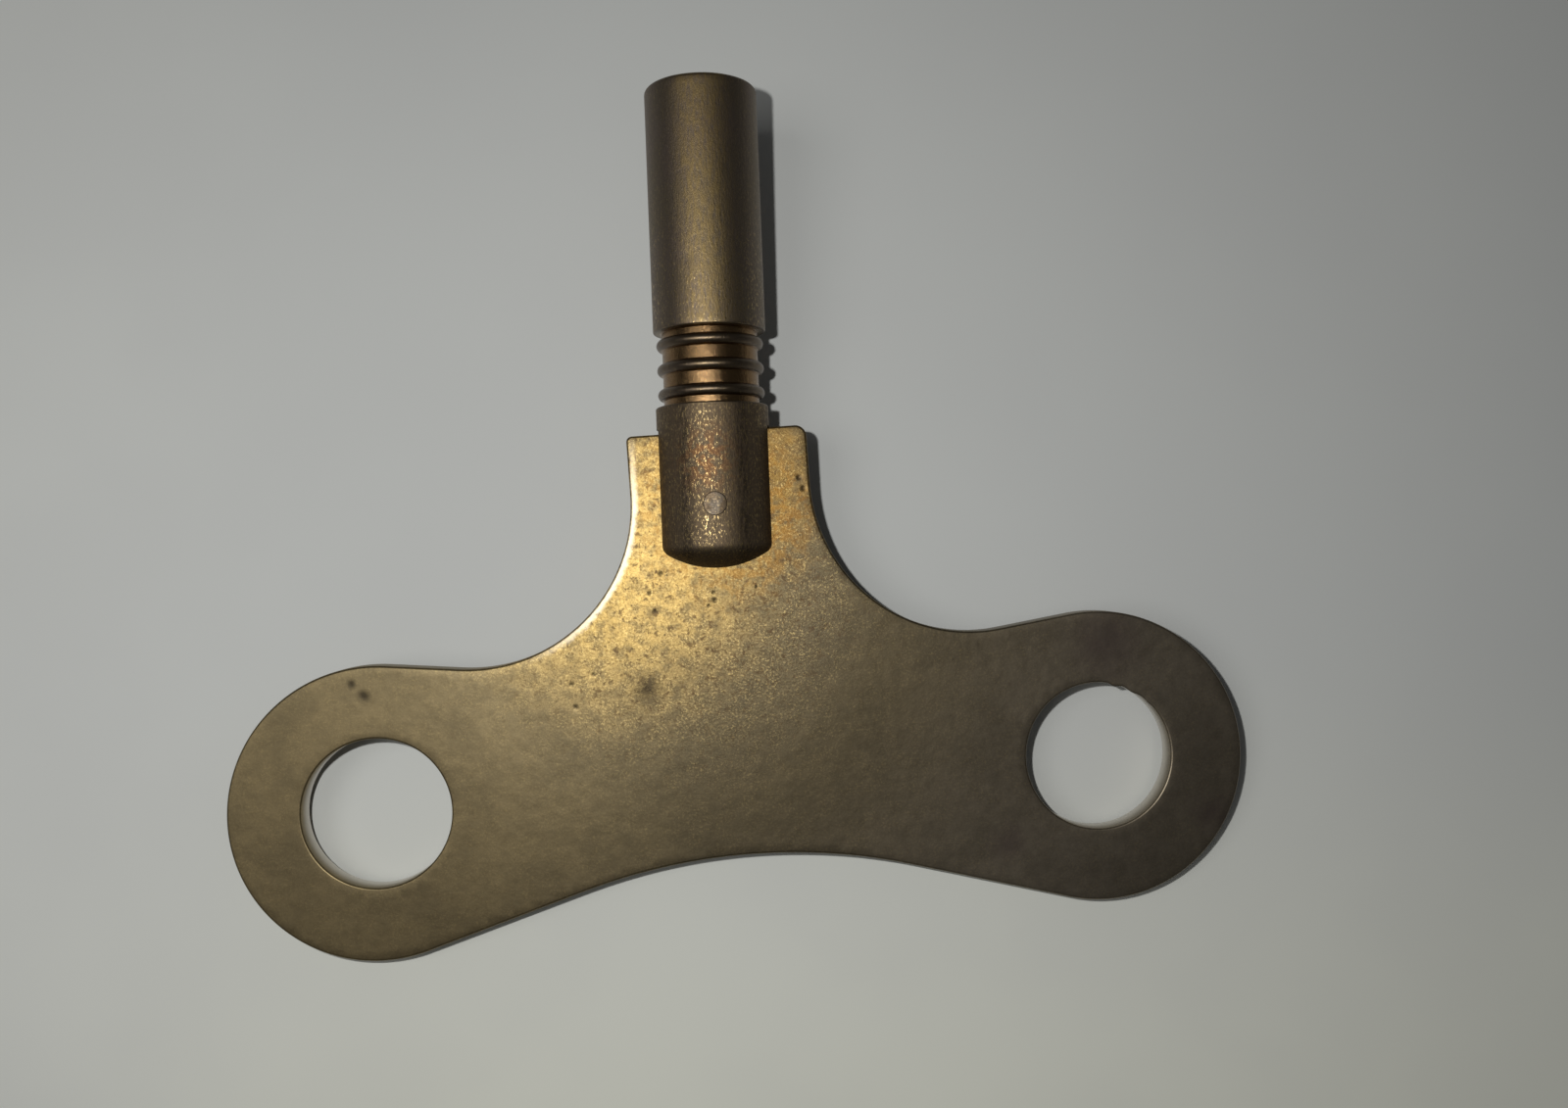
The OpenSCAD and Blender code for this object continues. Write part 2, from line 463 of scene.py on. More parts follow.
def barrel_profile():
    """Pairs of distance down the barrel and radius, from the mouth to where the slot starts."""
    quarter = [math.pi / 2 * k / 5 for k in range(6)]
    e = MOUTH_EDGE_R
    points = [(e - e * math.cos(a), BARREL_R - e + e * math.sin(a)) for a in quarter]
    points += [(s, BARREL_R) for s in spread(e, BAND_START - BAND_EDGE_R, LONG_STEP)[1:]]
    e = BAND_EDGE_R
    points += [(BAND_START - e + e * math.sin(a), BARREL_R - e + e * math.cos(a)) for a in quarter[1:]]
    points.append((BAND_START + BAND_WALL_SLOPE, CORE_R + BAND_ROOT_UP))
    inside = spread(BAND_START + BAND_ROOT_IN, BAND_END - BAND_ROOT_IN, BAND_STEP)
    points += [(s, band_radius(s)) for s in inside]
    points.append((BAND_END - BAND_WALL_SLOPE, CORE_R + BAND_ROOT_UP))
    points += [(BAND_END + e - e * math.cos(a), BARREL_R - e + e * math.sin(a)) for a in quarter]
    points += [(s, BARREL_R) for s in spread(BAND_END + e, SLOT_START, LONG_STEP)[1:]]
    return points


def tip_profile():
    """The rounded tip: a small corner arc that runs smoothly into a wide crown arc."""
    corner_r = BARREL_R - TIP_CORNER_R
    flatter = TIP_H - TIP_CORNER_R
    crown_up = (corner_r * corner_r - flatter * flatter) / (2 * flatter)
    crown_r = crown_up + TIP_H
    meet = math.atan2(crown_up, corner_r)
    steps = 8
    points = []
    for k in range(1, steps + 1):
        a = meet * k / steps
        points.append((TIP_START + TIP_CORNER_R * math.sin(a), corner_r + TIP_CORNER_R * math.cos(a)))
    apex = PLATE_HALF_T + SLOT_EDGE
    for r in spread(points[-1][1], apex, CROWN_STEP)[1:]:
        points.append((TIP_START - crown_up + math.sqrt(crown_r * crown_r - r * r), r))
    return points


def socket_radius(angle):
    """The square socket's reach in a direction, with slightly rounded corners."""
    power = 24
    c = abs(math.cos(angle)) ** power
    s = abs(math.sin(angle)) ** power
    return SOCKET_HALF / (c + s) ** (1 / power)


def socket_angles(count, first_angle):
    """Angles all round the socket, with its four corners among them."""
    corner_angles = [math.pi / 4 + math.pi / 2 * k for k in range(-1, 5)]
    at = [(a - first_angle) / math.tau * count for a in corner_angles]
    return [float(np.interp(i, [round(k) for k in at], corner_angles)) for i in range(count)]


def socket_rows(angles):
    """Rings of points from the barrel's flat mouth down the socket to the drill's point."""
    mouth_r = SOCKET_HALF + LEAD_IN
    inner = socket_angles(len(angles), angles[0])

    def ring(s, radius):
        return [(radius(a) * math.cos(a), -s, radius(a) * math.sin(a)) for a in inner]

    rows = [[skin_point(0, BARREL_R - MOUTH_EDGE_R, a) for a in angles]]
    for s, wider in ((0, 0.1), (0.03, 0.03), (0.1, 0)):
        rows.append(ring(s, lambda a: max(socket_radius(a), mouth_r) + wider))
    for s in spread(0.1, LEAD_IN, 0.1)[1:]:
        rows.append(ring(s, lambda a: max(socket_radius(a), mouth_r - s)))
    for s in spread(LEAD_IN, SOCKET_DEPTH, 0.5)[1:]:
        rows.append(ring(s, socket_radius))
    for s in spread(SOCKET_DEPTH, PILOT_DEPTH, 0.5):
        rows.append(ring(s, lambda a: min(socket_radius(a), SOCKET_HALF)))
    for part in (0.25, 0.5, 0.75, 1):
        rows.append(ring(PILOT_DEPTH + DRILL_POINT_H * part, lambda a: SOCKET_HALF * (1 - part)))
    return rows


def add_holed_sheet(bm, rows, first_row, lift):
    """Adds a sheet with the rivet's hole in it, and returns the ring of points round the hole.

    lift(across, down) puts a place across and down the barrel on the sheet's surface."""
    first_column = (CHEEK_COLUMNS - WINDOW_COLUMNS) // 2
    last_row = first_row + WINDOW_COLUMNS
    last_column = first_column + WINDOW_COLUMNS

    def in_window(i, j):
        return first_row <= i < last_row and first_column <= j < last_column

    add_sheet(bm, rows, skip=in_window)
    around = [rows[first_row][j] for j in range(first_column, last_column)]
    around += [rows[i][last_column] for i in range(first_row, last_row)]
    around += [rows[last_row][j] for j in range(last_column, first_column, -1)]
    around += [rows[i][first_column] for i in range(last_row, first_row, -1)]
    rings = [around]
    for part in (0.25, 0.5, 0.75, 1):
        ring = []
        for p, (cx, cs) in zip(around, hole_ring(RIVET_HOLE_R + RIVET_EDGE)):
            ring.append(lift(p[0] + (cx - p[0]) * part, -p[1] + (cs + p[1]) * part))
        rings.append(ring)
    add_sheet(bm, rings, closed=True)
    return rings[-1]


def hole_ring(radius):
    """Points round the rivet's hole, as pairs across and down the barrel, from one window corner on."""
    count = 4 * WINDOW_COLUMNS
    angles = [-math.pi / 4 - math.tau * k / count for k in range(count)]
    return [(radius * math.cos(a), RIVET_S + radius * math.sin(a)) for a in angles]


def cheek_rows():
    """Pairs of distance and radius down the cheek, and the row where the rivet's window starts."""
    angles = cheek_angles(BARREL_R)
    half = BARREL_R * math.cos(angles[(CHEEK_COLUMNS - WINDOW_COLUMNS) // 2])
    before = spread(SLOT_START, RIVET_S - half, LONG_STEP)
    window = spread(RIVET_S - half, RIVET_S + half, 2 * half / WINDOW_COLUMNS)
    after = spread(RIVET_S + half, TIP_START, LONG_STEP)
    straight = before + window[1:] + after[1:]
    return [(s, BARREL_R) for s in straight], len(before) - 1


def ring_between(outer_ring, inner_ring, part):
    """A ring of points that lies part of the way from one ring to another."""
    pairs = zip(outer_ring, inner_ring)
    return [tuple(o + (i - o) * part for o, i in zip(p, q)) for p, q in pairs]


def slot_corners(straight, tip):
    """Places across and down the barrel, along the right edge of the slot's wall."""
    edge_x = BARREL_R * math.cos(cheek_angles(BARREL_R)[0])
    corners = [(edge_x - SLOT_EDGE, s) for s, _ in straight]
    profile = straight[-1:] + tip
    for k, (s, r) in enumerate(tip, 1):
        back = profile[k - 1]
        ahead = profile[min(k + 1, len(tip))]
        run = Vector((ahead[0] - back[0], ahead[1] - back[1])).normalized()
        x = r * math.cos(cheek_angles(r)[0])
        corners.append((x * (r - SLOT_EDGE * run.x) / r, s + SLOT_EDGE * run.y))
    return corners


def add_cheek(bm, side):
    """Adds the upper (side 1) or lower (side -1) cheek that holds the plate."""
    straight, first_row = cheek_rows()
    tip = tip_profile()

    def on_skin(x, s):
        x_in, y, z = skin_point(s, BARREL_R, math.acos(x / BARREL_R))
        return (x_in, y, side * z)

    def on_slot_wall(x, s):
        return (x, -s, side * PLATE_HALF_T)

    upper = [[skin_point(s, r, a) for a in cheek_angles(r)] for s, r in straight + tip]
    skin = [[(x, y, side * z) for x, y, z in row] for row in upper]
    outer_ring = add_holed_sheet(bm, skin, first_row, on_skin)

    corners = slot_corners(straight, tip)
    wall_half = corners[0][0]
    angles = cheek_angles(BARREL_R)
    shares = [math.cos(a) / math.cos(angles[0]) for a in angles]
    wall = [[on_slot_wall(wall_half * share, s) for share in shares] for s, _ in straight]
    inner_ring = add_holed_sheet(bm, wall, first_row, on_slot_wall)
    middle_ring = ring_between(outer_ring, inner_ring, HOLE_WALL_RING)
    add_sheet(bm, [outer_ring, middle_ring, inner_ring], closed=True)

    for hand, column in ((1, 0), (-1, -1)):
        edge = [[row[column], on_slot_wall(hand * x, s)] for row, (x, s) in zip(skin, corners)]
        add_sheet(bm, edge)


def make_barrel(material):
    bm = bmesh.new()
    angles = ring_angles()
    add_sheet(bm, [[skin_point(s, r, a) for a in angles] for s, r in barrel_profile()], closed=True)
    add_sheet(bm, socket_rows(angles), closed=True)
    add_cheek(bm, 1)
    add_cheek(bm, -1)
    return finish_piece("barrel_brass", bm, material, "barrel")


# ---------------------------------------------------------------- cross rivet

# How far the rivet's ends lie below the barrel's surface, and how much they bulge
RIVET_SINK = 0.012
RIVET_DOME = 0.008
# A punch mark in the rivet's upper end: place across and along it, radius and depth
PUNCH = (-0.25, -0.05, 0.42, 0.06)


def rivet_height(x, y, side):
    """The height of a rivet end's surface, which follows the barrel's round side."""
    rim = math.hypot(x, y) / RIVET_R
    height = math.sqrt((BARREL_R - RIVET_SINK) ** 2 - x * x) + RIVET_DOME * (1 - rim * rim)
    if side > 0:
        away = math.hypot(x - PUNCH[0], y - PUNCH[1]) / PUNCH[2]
        height -= PUNCH[3] * math.exp(-1.8 * away * away)
    return height


def make_rivet(material):
    bm = bmesh.new()
    quarter = [math.pi / 2 * k / 4 for k in range(5)]
    flat_r = RIVET_R - RIVET_EDGE
    half = [(r, 0) for r in spread(0, flat_r, 0.08)]
    half += [(flat_r + RIVET_EDGE * math.sin(a), RIVET_EDGE * (1 - math.cos(a))) for a in quarter[1:]]
    rows = []
    for side, steps in ((1, half), (-1, half[::-1])):
        for r, down in steps:
            row = []
            for k in range(RIVET_COLUMNS):
                x = r * math.cos(math.tau * k / RIVET_COLUMNS)
                y = r * math.sin(math.tau * k / RIVET_COLUMNS)
                row.append((x, y - RIVET_S, side * (rivet_height(x, y, side) - down)))
            rows.append(row)
    add_sheet(bm, rows, closed=True)
    return finish_piece("cross_rivet_brass", bm, material, "cross_rivet")


# ---------------------------------------------------------------- materials

class Finish:
    """A material and the nodes that make it. Lengths in the patterns are millimetres."""

    def __init__(self, name):
        self.material = bpy.data.materials.new(name)
        self.material.use_nodes = True
        self.tree = self.material.node_tree
        self.tree.nodes.clear()
        metres = self.node("TexCoord").outputs["Object"]
        scaled = self.node("VectorMath", {0: metres, "Scale": 1 / MM}, operation="SCALE")
        self.place = scaled.outputs["Vector"]
        self.x, self.y, self.z = self.node("SeparateXYZ", {0: self.place}).outputs

    def node(self, kind, values=None, **settings):
        """Adds a node. A value that is another node's output is linked, and any other is set."""
        made = self.tree.nodes.new("ShaderNode" + kind)
        for name, value in settings.items():
            setattr(made, name, value)
        for name, value in (values or {}).items():
            if isinstance(value, bpy.types.NodeSocket):
                self.tree.links.new(value, made.inputs[name])
            else:
                made.inputs[name].default_value = value
        return made

    def math(self, operation, a, b=0.0):
        return self.node("Math", {0: a, 1: b}, operation=operation).outputs[0]

    def times(self, a, b):
        return self.math("MULTIPLY", a, b)

    def stretch(self, x, y, z):
        """The place, with each axis scaled, so that a pattern is drawn out along one of them."""
        made = self.node("VectorMath", {0: self.place, 1: (x, y, z)}, operation="MULTIPLY")
        return made.outputs["Vector"]

    def distance(self, point, where=None):
        made = self.node("VectorMath", {0: where or self.place, 1: point}, operation="DISTANCE")
        return made.outputs["Value"]

    def noise(self, scale, detail=3.0, roughness=0.5, where=None, twist=0.0):
        made = self.node("TexNoise", {
            "Vector": where or self.place,
            "Scale": scale,
            "Detail": detail,
            "Roughness": roughness,
            "Distortion": twist,
        })
        return made.outputs["Fac"]

    def band(self, value, low, high, start=0.0, end=1.0):
        """Turns a value between low and high into start to end, smoothly."""
        values = {"Value": value, "From Min": low, "From Max": high, "To Min": start, "To Max": end}
        made = self.node("MapRange", values, interpolation_type="SMOOTHSTEP")
        return made.outputs["Result"]

    def mix(self, amount, a, b):
        """The colour a, with an amount of the colour b laid over it."""
        return self.node("Mix", {0: amount, 6: a, 7: b}, data_type="RGBA").outputs[2]

    def spot(self, centre, inner, outer, ragged=0.0):
        """1 within the inner distance of a point, fading to 0 at the outer one."""
        distance = self.distance(centre)
        if ragged:
            distance = self.math("ADD", distance, self.times(self.noise(0.9, 4), ragged))
        return self.band(distance, inner, outer, 1.0, 0.0)


def finish_brass(finish, colour, roughness, height, bump_height):
    """Ends a finish in one metal shader, with the height pattern as its bump."""
    bump = finish.node("Bump", {"Height": height, "Distance": bump_height * MM, "Strength": 1.0})
    shader = finish.node("BsdfPrincipled", {
        "Base Color": colour,
        "Roughness": roughness,
        "Normal": bump.outputs["Normal"],
        "Metallic": 1.0,
    })
    finish.node("OutputMaterial", {"Surface": shader.outputs["BSDF"]})
    return finish.material


# Colours of the metal and of the paper
GOLD = (0.55, 0.375, 0.125, 1)
PALE_GOLD = (0.78, 0.57, 0.23, 1)
# Near-white for the left edge: partly wear, partly painted highlight
WORN_EDGE_AND_HIGHLIGHT = (0.90, 0.79, 0.58, 1)
# Light grey for the hole walls: partly wear, partly painted reflection of the paper
WORN_WALL_AND_REFLECTION = (0.66, 0.62, 0.56, 1)
LIGHT_OLIVE = (0.250, 0.194, 0.102, 1)
# Darker olive round the key light's highlight and lighter olive far from it: painted light that narrows
# the highlight's glow
OLIVE = (0.146, 0.116, 0.067, 1)
FAR_OLIVE = (0.280, 0.236, 0.174, 1)
DARK_OLIVE = (0.075, 0.064, 0.044, 1)
DULL_GOLD = (0.225, 0.134, 0.035, 1)
RUSSET = (0.130, 0.072, 0.024, 1)
DARK_RUSSET = (0.085, 0.050, 0.025, 1)
AMBER = (0.27, 0.130, 0.024, 1)
PURPLE_BROWN = (0.150, 0.110, 0.100, 1)
CUT_BRASS = (0.74, 0.58, 0.30, 1)
NEAR_BLACK = (0.022, 0.018, 0.015, 1)
BARREL_BROWN = (0.170, 0.138, 0.104, 1)
BARREL_PURPLE = (0.175, 0.140, 0.120, 1)
# Gold along the barrel's middle: partly real streaks, partly painted sheen
BARREL_OLIVE_AND_SHEEN = (0.31, 0.218, 0.088, 1)
BAND_BROWN = (0.115, 0.086, 0.062, 1)
FOOT_BROWN = (0.160, 0.116, 0.074, 1)
# Gold in the grooves: partly golden brass, partly painted highlight
GROOVE_GOLD_AND_HIGHLIGHT = (0.25, 0.145, 0.062, 1)
COPPER = (0.27, 0.13, 0.055, 1)
PAPER = (0.735, 0.748, 0.715, 1)
# Painted light on the paper: warmer and brighter towards the bottom, brighter to the left
WARM_LIT_PAPER = (0.92, 0.925, 0.80, 1)
LIT_PAPER = (0.90, 0.91, 0.86, 1)
GREY_PAPER = (0.64, 0.64, 0.63, 1)


def on_face(x, y):
    """A place on the plate's upper face, from its place on the plate."""
    flat = plate_to_frame((x, y))
    return (flat.x, flat.y, PLATE_HALF_T)


def plate_ground(f):
    """The plate's ground colour: olive brown, lighter to the left, with painted light round the key
    light's highlight by the foot: darker there, lighter far out, and a gold core that is partly rubbed
    brass and partly a painted highlight.
    """
    # Painted light: darker olive within reach of the key light's highlight, which narrows its glow, and
    # lighter olive far from it
    right = f.mix(f.spot((-6.0, -34.0, PLATE_HALF_T), 17.0, 38.0), FAR_OLIVE, OLIVE)
    colour = f.mix(f.band(f.x, -18.0, 3.0), LIGHT_OLIVE, right)
    blotch = f.band(f.noise(0.22, 3, 0.55, twist=0.6), 0.35, 0.65)
    colour = f.mix(f.times(blotch, 0.25), colour, DARK_OLIVE)
    neck = f.spot((0.5, -27.5, PLATE_HALF_T), 5.0, 11.0, 3.0)
    colour = f.mix(f.times(neck, 0.85), colour, DULL_GOLD)
    # Gold round the key light's highlight: partly rubbed brass, partly a painted highlight
    rubbed_and_highlight = f.spot((-7.3, -33.4, PLATE_HALF_T), 3.0, 15.4, 3.0)
    return f.mix(rubbed_and_highlight, colour, GOLD)


def add_grain(f, colour, grain, near_foot_highlight):
    """Mottle, dark and light grain and brown specks, all of them stronger near the foot, round the key
    light's highlight: partly real grain, partly painted glints.
    """
    mottle = f.band(f.noise(1.1, 4, 0.65), 0.40, 0.64)
    colour = f.mix(f.times(mottle, f.band(near_foot_highlight, 0.0, 1.0, 0.14, 0.60)), colour, DARK_OLIVE)
    strength = f.band(near_foot_highlight, 0.0, 1.0, 0.12, 0.62)
    dark_grain = f.times(f.band(grain, 0.36, 0.50, 1.0, 0.0), strength)
    colour = f.mix(dark_grain, colour, RUSSET)
    patchy = f.band(f.noise(0.8, 3, 0.6), 0.35, 0.60, 0.3, 1.1)
    # Light grain: partly real, partly painted glints round the key light's highlight
    light_grain_and_glints = f.times(f.band(grain, 0.50, 0.64), f.times(strength, patchy))
    colour = f.mix(light_grain_and_glints, colour, PALE_GOLD)
    specks = f.band(f.noise(2.1, 4, 0.65, twist=0.5), 0.55, 0.64)
    return f.mix(f.times(specks, f.band(near_foot_highlight, 0.0, 1.0, 0.08, 0.75)), colour, DARK_RUSSET)


def add_stains(f, colour):
    """Amber by the foot, purple patches on the right lobe, one soft stain and the pits' dirt."""
    amber = f.spot((0.6, -30.0, PLATE_HALF_T), 5.0, 8.5, 1.5)
    amber = f.times(amber, f.band(f.noise(1.6, 4, 0.6), 0.42, 0.60))
    colour = f.mix(f.times(amber, 0.5), colour, AMBER)
    for place, reach in PURPLE_PATCHES:
        patch = f.spot(on_face(*place), 0.5, reach, 2.0)
        colour = f.mix(f.times(patch, 0.6), colour, PURPLE_BROWN)
    stain = f.spot(on_face(*STAIN), 0.3, 2.0, 0.8)
    colour = f.mix(f.times(stain, 0.8), colour, NEAR_BLACK)
    for place, radius, _ in PITS:
        pit = f.spot(on_face(*place), 0.4 * radius, 1.9 * radius, 0.25)
        colour = f.mix(f.times(pit, 0.75), colour, NEAR_BLACK)
    return colour


def worn_edges_and_highlight(f):
    """Up to 1 along the burnished left edge of the neck and of the shoulder under it; its near-white
    colour is partly wear and partly a painted highlight.
    """
    shoulder = plate_to_frame((-NECK_HALF - SHOULDER_R, SHOULDER_Y))
    neck_edge = plate_to_frame((-NECK_HALF, SHOULDER_Y)).x
    above = f.band(f.y, shoulder.y - 0.5, shoulder.y + 0.5)
    below = f.math("SUBTRACT", 1.0, above)
    from_shoulder = f.distance((*shoulder, 0), where=f.stretch(1, 1, 0))
    inwards = f.math(
        "ADD",
        f.times(f.math("SUBTRACT", from_shoulder, SHOULDER_R), below),
        f.times(f.math("SUBTRACT", f.x, neck_edge), above),
    )
    ragged = f.math("ADD", inwards, f.times(f.noise(2.5, 3), 0.5))
    along_edge = f.times(f.band(ragged, 0.15, 0.4), f.band(ragged, 0.5, 0.9, 1.0, 0.0))
    low_end = f.spot(on_face(-8.5, 16.5), 3.5, 9.5)
    return f.times(along_edge, f.times(low_end, 0.75))


def hole_walls_and_reflection(f):
    """Up to 1 down the walls of the two finger holes; their light colour is partly wear from many
    fingers and partly a painted reflection of the lit paper.
    """
    below_face = f.band(f.z, -0.9 * PLATE_HALF_T, 0.9 * PLATE_HALF_T, 1.0, 0.0)
    holes = (LEFT_HOLE, RIGHT_HOLE)
    left, right = [f.spot((*hole, 0.0), HOLE_R + 0.15, HOLE_R + 0.4) for hole in holes]
    return f.times(below_face, f.math("ADD", left, right))


def plate_finish():
    """Old brass sheet: golden round the neck, browner outwards, grained, mottled and pitted; the gold
    and grain round the key light's highlight, the near-white left edge and the light hole walls are
    partly painted light.
    """
    f = Finish("aged_plate_brass")
    grain = f.noise(6.0, 4, 0.85)
    # Round the key light's highlight by the foot, where the colour grain is partly painted glints
    near_foot_highlight = f.spot((-4.0, -33.0, PLATE_HALF_T), 6.0, 22.0, 3.0)
    colour = add_grain(f, plate_ground(f), grain, near_foot_highlight)
    colour = add_stains(f, colour)
    # Near-white left edge: partly burnished wear, partly a painted highlight
    colour = f.mix(worn_edges_and_highlight(f), colour, WORN_EDGE_AND_HIGHLIGHT)
    wall = hole_walls_and_reflection(f)
    # Light hole walls: partly finger wear, partly a painted reflection of the paper below
    colour = f.mix(wall, colour, WORN_WALL_AND_REFLECTION)
    roughness = f.band(wall, 0.0, 1.0, 0.44, 0.30)
    sparkle = f.times(grain, f.band(near_foot_highlight, 0.0, 1.0, 0.3, 1.9))
    height = f.math("ADD", sparkle, f.times(f.noise(0.9, 3), 2.0))
    return finish_brass(f, colour, roughness, height, 0.010)


def barrel_zones(f, down):
    """1 on the shank, on the band and on the foot."""
    on_shank = f.band(down, BAND_START - 0.3, BAND_START + 0.1, 1.0, 0.0)
    on_foot = f.band(down, BAND_END - 0.1, BAND_END + 0.3)
    on_band = f.math("SUBTRACT", f.math("SUBTRACT", 1.0, on_foot), on_shank)
    return on_shank, on_band, on_foot


def barrel_ground(f, streak, beside, on_band, on_foot):
    """Brown tarnish, streaked with gold along the middle, partly a painted sheen where the key light's
    highlight runs, and darker on the band and the foot.
    """
    blotch = f.band(f.noise(0.35, 3, 0.5, where=f.stretch(1.0, 0.5, 1.0)), 0.38, 0.62)
    colour = f.mix(blotch, BARREL_PURPLE, BARREL_BROWN)
    # Gold streaks along the top and bottom middle: partly real streaks, partly a painted sheen along
    # the key light's highlight
    golden = f.times(f.band(streak, 0.22, 0.66), f.band(beside, 0.8, 2.6, 0.85, 0.10))
    colour = f.mix(golden, colour, BARREL_OLIVE_AND_SHEEN)
    colour = f.mix(f.times(on_band, 0.75), colour, BAND_BROWN)
    return f.mix(f.times(on_foot, 0.85), colour, FOOT_BROWN)


def add_foot_marks(f, colour, streak, down, beside, on_foot):
    """A copper bloom on the foot, its dark tip, partly oxide and partly painted shade, and a dark
    stripe along each side.
    """
    copper = f.spot((-0.6, -26.5, BARREL_R), 0.8, 4.0, 1.2)
    copper = f.times(copper, f.band(f.noise(1.8, 3), 0.42, 0.58))
    colour = f.mix(f.times(copper, 0.8), colour, COPPER)
    # Dark tip: partly oxide, partly painted shade on the rounded end
    dark_tip_and_shade = f.band(down, TIP_START - 0.05, TIP_START + 0.65)
    colour = f.mix(f.times(dark_tip_and_shade, 0.35), colour, NEAR_BLACK)
    stripe = f.times(f.band(beside, 1.3, 1.9), f.band(beside, 2.0, 2.7, 1.0, 0.0))
    stripe = f.times(f.times(stripe, on_foot), f.band(streak, 0.40, 0.56))
    return f.mix(f.times(stripe, 0.6), colour, NEAR_BLACK)


def barrel_finish():
    """Turned brass with a brown tarnish: brushed shank, dark band, sparkling foot, bare socket; its
    gold sheen, pale flecks, groove gold and dark tip are partly painted light.
    """
    f = Finish("aged_barrel_brass")
    down = f.times(f.y, -1.0)
    beside = f.math("ABSOLUTE", f.x)
    radius = f.distance((0, 0, 0), where=f.stretch(1, 0, 1))
    streak = f.noise(5.5, 4, 0.75, where=f.stretch(1.0, 0.2, 1.0))
    fine = f.noise(8.0, 4, 0.75, where=f.stretch(1.0, 0.45, 1.0))
    on_shank, on_band, on_foot = barrel_zones(f, down)
    colour = barrel_ground(f, streak, beside, on_band, on_foot)
    groove = f.times(on_band, f.band(radius, CORE_R + 0.03, CORE_R + 0.2, 1.0, 0.0))
    # Gold in the grooves between the beads: partly golden brass, partly a painted highlight for the key
    # light's glints there
    colour = f.mix(f.times(groove, 0.8), colour, GROOVE_GOLD_AND_HIGHLIGHT)
    colour = add_foot_marks(f, colour, streak, down, beside, on_foot)
    dirt = f.times(f.band(fine, 0.34, 0.48, 1.0, 0.0), f.band(on_foot, 0.0, 1.0, 0.1, 0.5))
    colour = f.mix(dirt, colour, DARK_OLIVE)
    # Pale gold flecks, stronger towards the band and on the foot where the key light's highlight is
    # bright: partly real grain, partly painted glints
    towards_band = f.band(down, 6.0, 16.5, 0.25, 1.0)
    sparkle = f.times(f.band(fine, 0.53, 0.68), f.math("MAXIMUM", towards_band, on_foot))
    bright = f.times(sparkle, f.band(on_band, 0.0, 1.0, 0.55, 0.2))
    colour = f.mix(bright, colour, PALE_GOLD)
    inside = f.times(on_shank, f.band(radius, BARREL_R - 0.3, BARREL_R - 0.15, 1.0, 0.0))
    colour = f.mix(f.times(inside, 0.85), colour, CUT_BRASS)
    roughness = f.band(on_foot, 0.0, 1.0, 0.48, 0.60)
    for glossier, share in ((bright, 0.6), (on_band, 0.14), (groove, 0.12)):
        roughness = f.math("SUBTRACT", roughness, f.times(glossier, share))
    height = f.math("ADD", fine, f.times(streak, 1.2))
    return finish_brass(f, colour, roughness, height, 0.018)


def rivet_finish():
    """Filed brass with the foot's brown tarnish."""
    f = Finish("aged_rivet_brass")
    blotch = f.band(f.noise(1.4, 3, 0.5), 0.4, 0.6)
    fine = f.noise(7.0, 3, 0.7)
    colour = f.mix(blotch, FOOT_BROWN, BARREL_BROWN)
    colour = f.mix(f.band(fine, 0.52, 0.72, 0.0, 0.3), colour, PALE_GOLD)
    return finish_brass(f, colour, f.band(fine, 0.3, 0.7, 0.60, 0.46), fine, 0.012)


def paper_finish():
    """Plain pale paper with faint uneven tones, and painted light: brighter and warmer towards the
    bottom, brighter to the left.
    """
    f = Finish("pale_floor")
    # Painted light: the paper is brighter and warmer towards the bottom and brighter to the left
    colour = f.mix(f.band(f.y, -45.0, 0.0), WARM_LIT_PAPER, PAPER)
    colour = f.mix(f.band(f.x, -65.0, -20.0, 0.75, 0.0), colour, LIT_PAPER)
    faint = f.band(f.noise(0.05, 3), 0.35, 0.65, 0.0, 0.12)
    colour = f.mix(faint, colour, GREY_PAPER)
    shader = f.node("BsdfPrincipled", {"Base Color": colour, "Roughness": 0.9})
    f.node("OutputMaterial", {"Surface": shader.outputs["BSDF"]})
    return f.material


# ---------------------------------------------------------------- floor, light and camera

# Places and sizes are millimetres and turns are degrees. The key light's place is given from the
# camera.
FLOOR_SIZE = 3000.0
CENTRE_OF_MASS = (0.7, -37.0, 0.0)
CAMERA_PLACE = (1.03, -33.32, 90.82)
CAMERA_TURN = (0.214, -2.32, -2.196)
LENS = 29.25
KEY_OFFSET = (-14.0, 8.0, 0.0)
KEY_RADIUS = 1.5
KEY_POWER = 0.155
SOFTBOX_PLACE = (-160.0, -20.0, 250.0)
SOFTBOX_SIZE = 160.0
SOFTBOX_POWER = 0.10
FILL = 0.048
WORLD_TINT = (0.95, 0.97, 1.0, 1)


def resting_plane():
    """A point and the upward direction of the flat surface that the key rests on."""
    bm = bmesh.new()
    for node in frame["nodes"].values():
        for v in node.data.vertices:
            bm.verts.new(v.co)
    bmesh.ops.convex_hull(bm, input=bm.verts)
    bmesh.ops.triangulate(bm, faces=bm.faces)
    centre = Vector(CENTRE_OF_MASS) * MM
    for face in bm.faces:
        corners = [v.co for v in face.verts]
        hit = intersect_ray_tri(*corners, Vector((0, 0, -1)), centre)
        if hit:
            normal = face.normal if face.normal.z > 0 else -face.normal
            bm.free()
            return hit, normal.copy()
    raise RuntimeError("no face of the hull lies under the centre of mass")


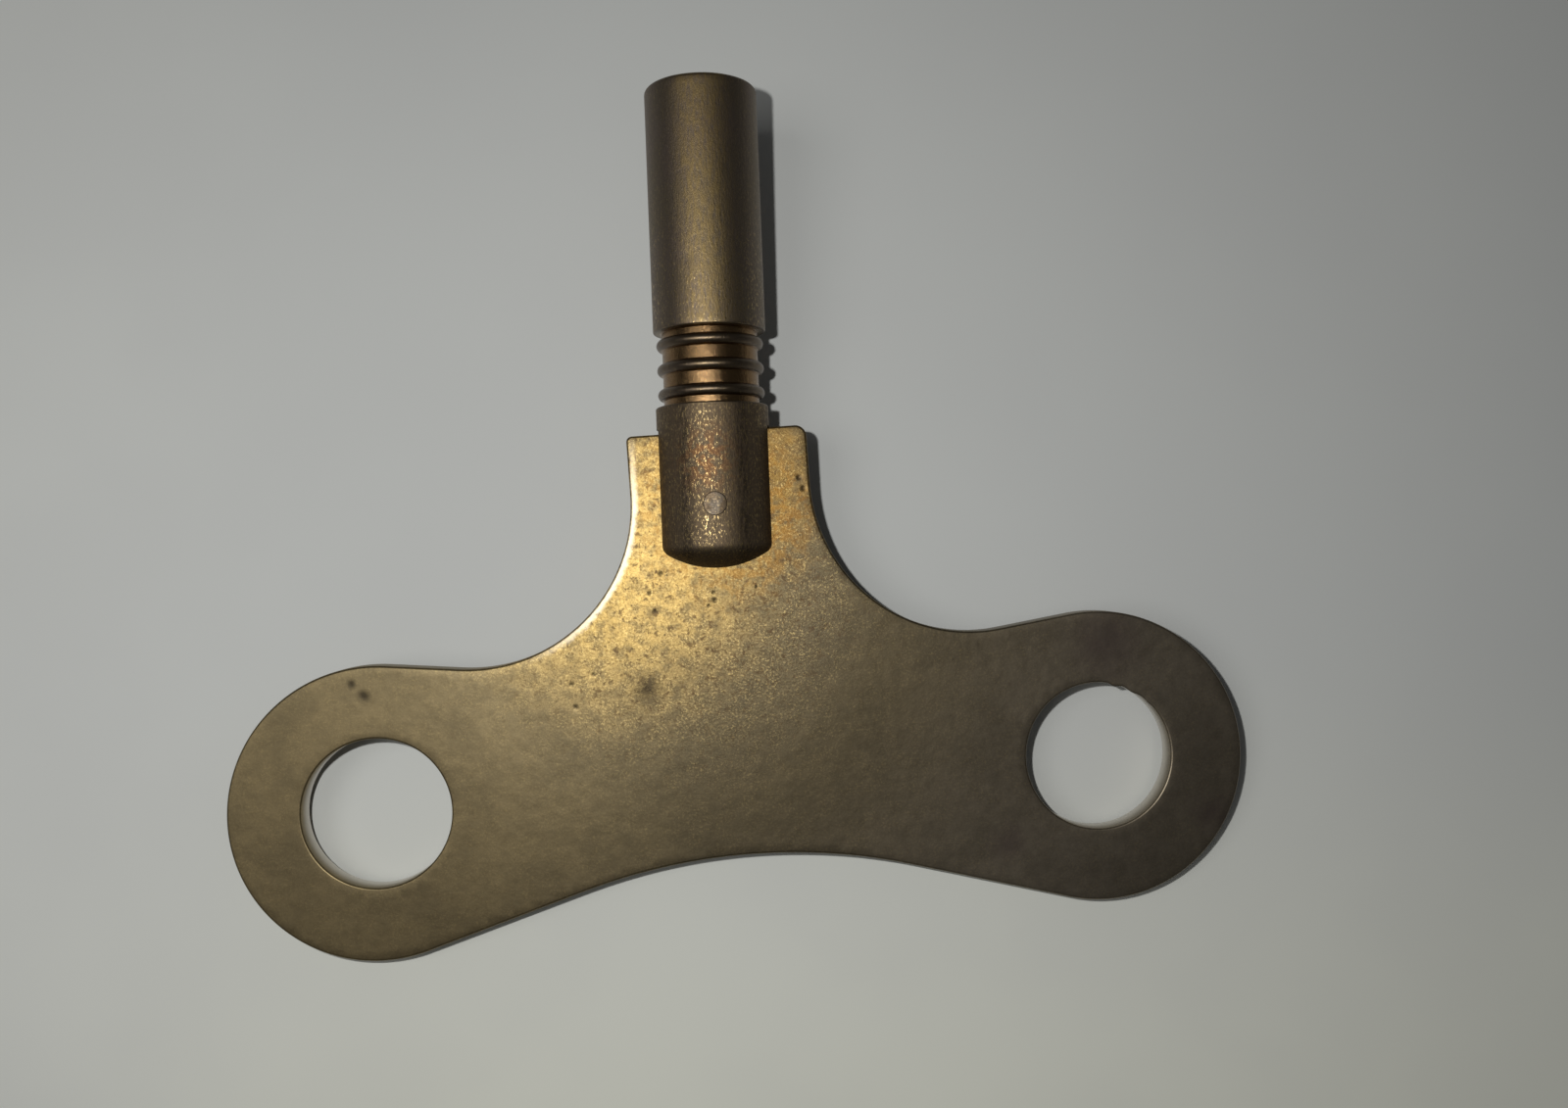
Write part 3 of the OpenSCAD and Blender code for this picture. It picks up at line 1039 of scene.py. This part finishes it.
def make_floor():
    place, up = resting_plane()
    half = FLOOR_SIZE / 2 * MM
    mesh = bpy.data.meshes.new("floor")
    corners = [(-half, -half, 0), (half, -half, 0), (half, half, 0), (-half, half, 0)]
    mesh.from_pydata(corners, [], [(0, 1, 2, 3)])
    mesh.materials.append(paper_finish())
    floor = bpy.data.objects.new("floor", mesh)
    bpy.context.scene.collection.objects.link(floor)
    floor.rotation_mode = "QUATERNION"
    floor.rotation_quaternion = Vector((0, 0, 1)).rotation_difference(up)
    floor.location = place


def make_camera():
    data = bpy.data.cameras.new("camera")
    data.lens = LENS
    data.sensor_width = 36
    data.clip_start = 0.005
    camera = bpy.data.objects.new("camera", data)
    camera.location = Vector(CAMERA_PLACE) * MM
    camera.rotation_euler = Euler([math.radians(a) for a in CAMERA_TURN])
    bpy.context.scene.collection.objects.link(camera)
    bpy.context.scene.camera = camera


def place_light(name, kind, place, power):
    data = bpy.data.lights.new(name, kind)
    data.energy = power
    light = bpy.data.objects.new(name, data)
    light.location = Vector(place) * MM
    light.visible_camera = False
    bpy.context.scene.collection.objects.link(light)
    return light


def make_lights():
    """A small key light just left of the camera, a softbox further left, and a dim pale room."""
    key_place = Vector(CAMERA_PLACE) + Vector(KEY_OFFSET)
    key = place_light("key_light", "POINT", key_place, KEY_POWER)
    key.data.shadow_soft_size = KEY_RADIUS * MM
    softbox = place_light("softbox", "AREA", SOFTBOX_PLACE, SOFTBOX_POWER)
    softbox.data.shape = "DISK"
    softbox.data.size = SOFTBOX_SIZE * MM
    middle = sum((Vector(corner) for corner in CAD_BOX), Vector()) / 2
    softbox.rotation_euler = (softbox.location - middle).to_track_quat("Z", "Y").to_euler()
    world = bpy.data.worlds.new("studio")
    world.use_nodes = True
    background = world.node_tree.nodes["Background"]
    background.inputs["Color"].default_value = WORLD_TINT
    background.inputs["Strength"].default_value = FILL
    bpy.context.scene.world = world


make_camera()
make_plate(plate_finish())
make_barrel(barrel_finish())
make_rivet(rivet_finish())
make_floor()
make_lights()
bpy.context.scene.view_settings.view_transform = "Standard"
